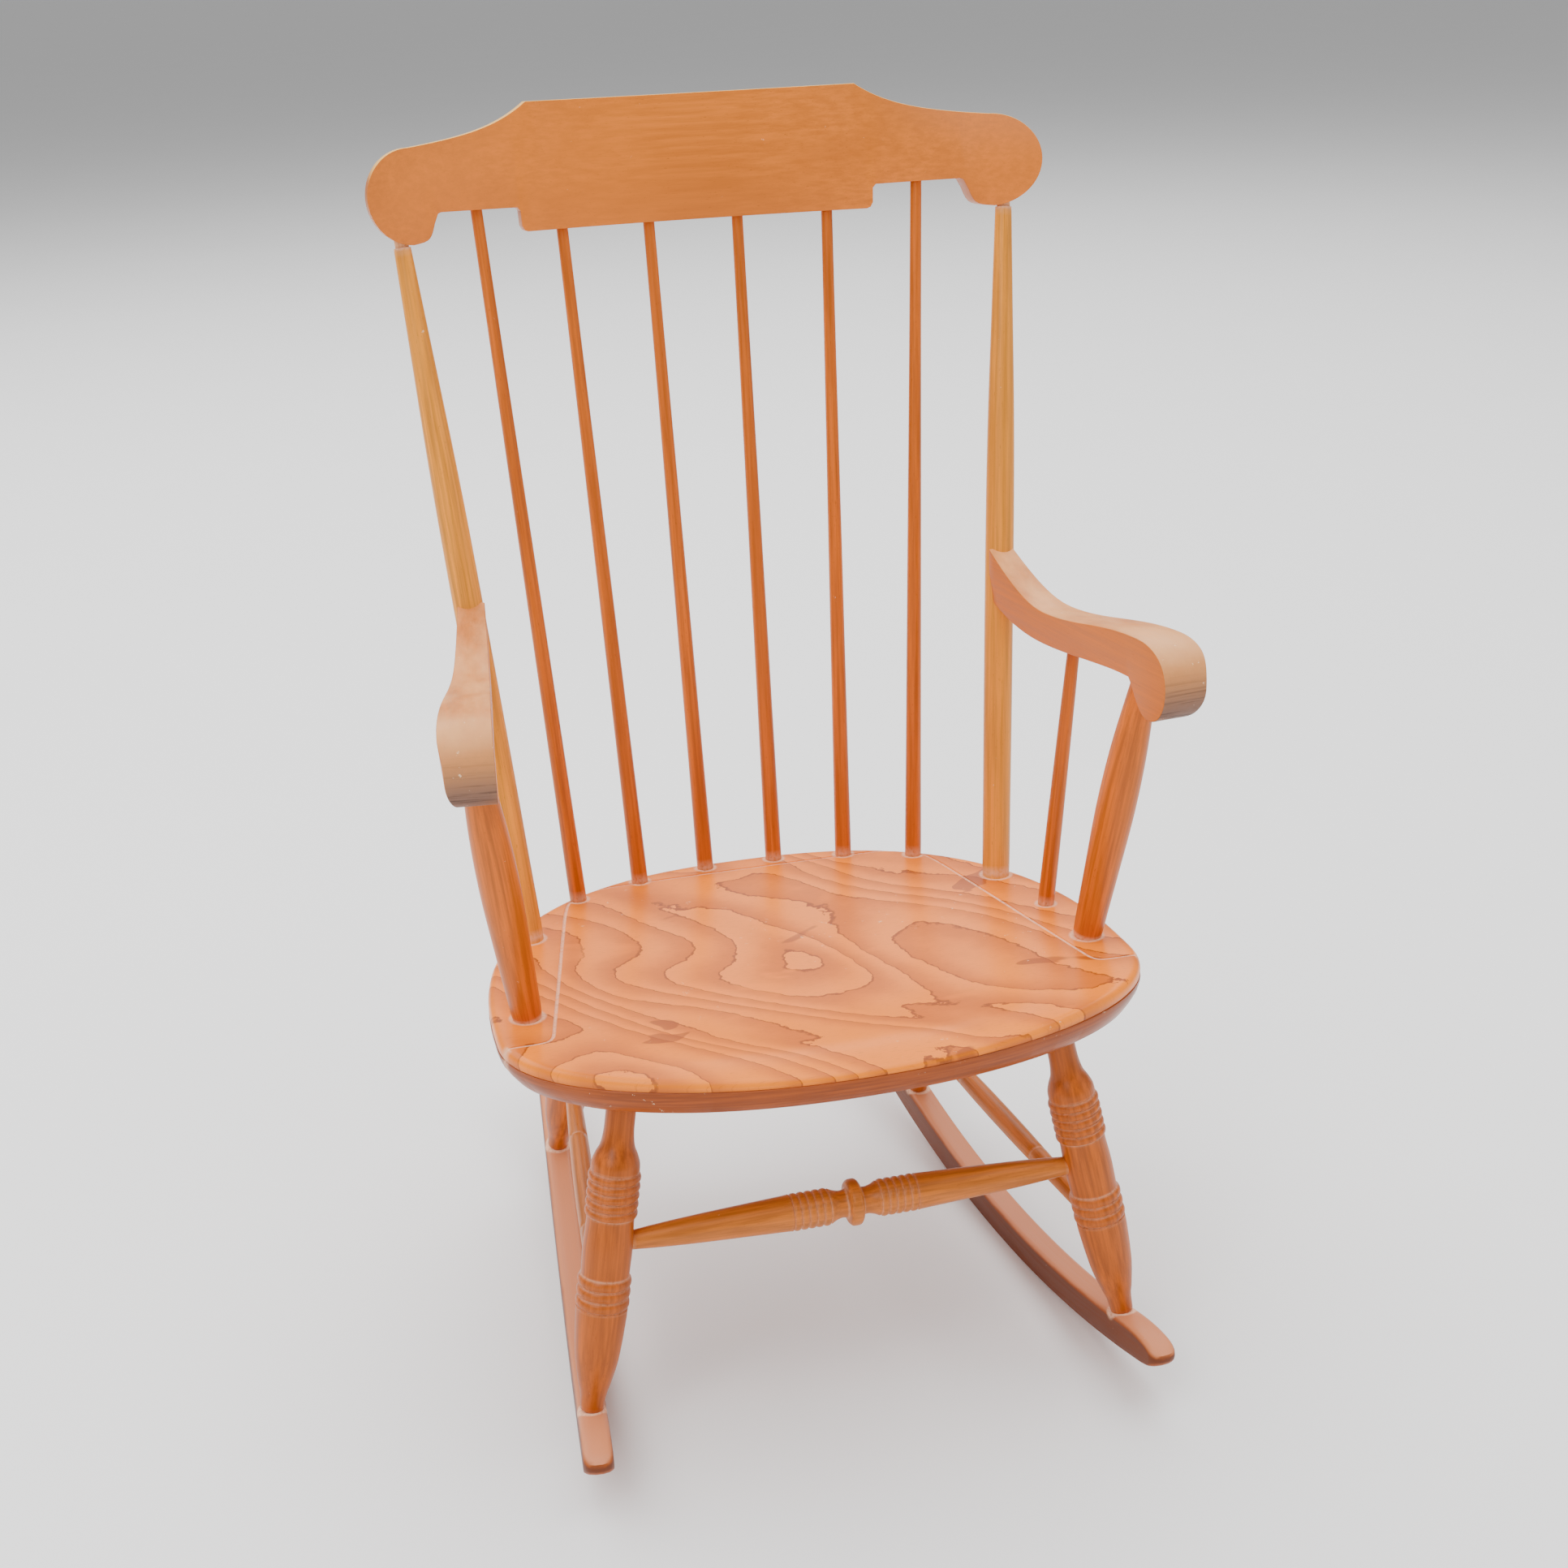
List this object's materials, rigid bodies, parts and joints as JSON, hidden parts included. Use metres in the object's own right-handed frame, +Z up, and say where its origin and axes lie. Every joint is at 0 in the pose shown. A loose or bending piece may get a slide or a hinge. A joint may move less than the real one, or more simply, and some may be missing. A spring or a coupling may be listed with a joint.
{
  "type": "rocking chair",
  "caption": "Turned-wood rocking chair with a dished plank seat, shaped crest rail on spindles, scroll arms and stretchered legs on curved rockers",
  "frame": {"origin": "on the floor, under the middle of the chair's outer box", "axes": "+Z up, the chair faces -Y, +X to the viewer's right from the front"},
  "size_m": [0.5944, 0.7042, 1.012],
  "materials": {
    "seat_wood": "satin varnish, honey orange",
    "crest_wood": "satin varnish, orange brown",
    "post_wood": "satin varnish, yellowish brown, worn",
    "spindle_wood": "satin varnish, orange brown",
    "arm_wood": "satin varnish worn pale on top",
    "leg_wood": "satin varnish, darker brown",
    "stretcher_wood": "satin varnish, darker brown",
    "rocker_wood": "worn varnish, red brown",
    "screw_steel": "plain zinc"
  },
  "bodies": {
    "root": {"arm_left": "arm_wood", "arm_plug_left": "post_wood", "arm_plug_right": "post_wood", "arm_post_left": "spindle_wood", "arm_post_right": "spindle_wood", "arm_right": "arm_wood", "arm_screw_left": "screw_steel", "arm_screw_right": "screw_steel", "arm_spindle_left": "spindle_wood", "arm_spindle_right": "spindle_wood", "back_post_left": "post_wood", "back_post_right": "post_wood", "back_spindle_1": "spindle_wood", "back_spindle_2": "spindle_wood", "back_spindle_3": "spindle_wood", "back_spindle_4": "spindle_wood", "back_spindle_5": "spindle_wood", "back_spindle_6": "spindle_wood", "crest_rail": "crest_wood", "front_leg_left": "leg_wood", "front_leg_right": "leg_wood", "front_stretcher": "stretcher_wood", "rear_leg_left": "leg_wood", "rear_leg_right": "leg_wood", "rear_stretcher": "stretcher_wood", "rocker_left": "rocker_wood", "rocker_right": "rocker_wood", "seat": "seat_wood", "side_stretcher_left": "stretcher_wood", "side_stretcher_right": "stretcher_wood"}
  },
  "joints": []
}
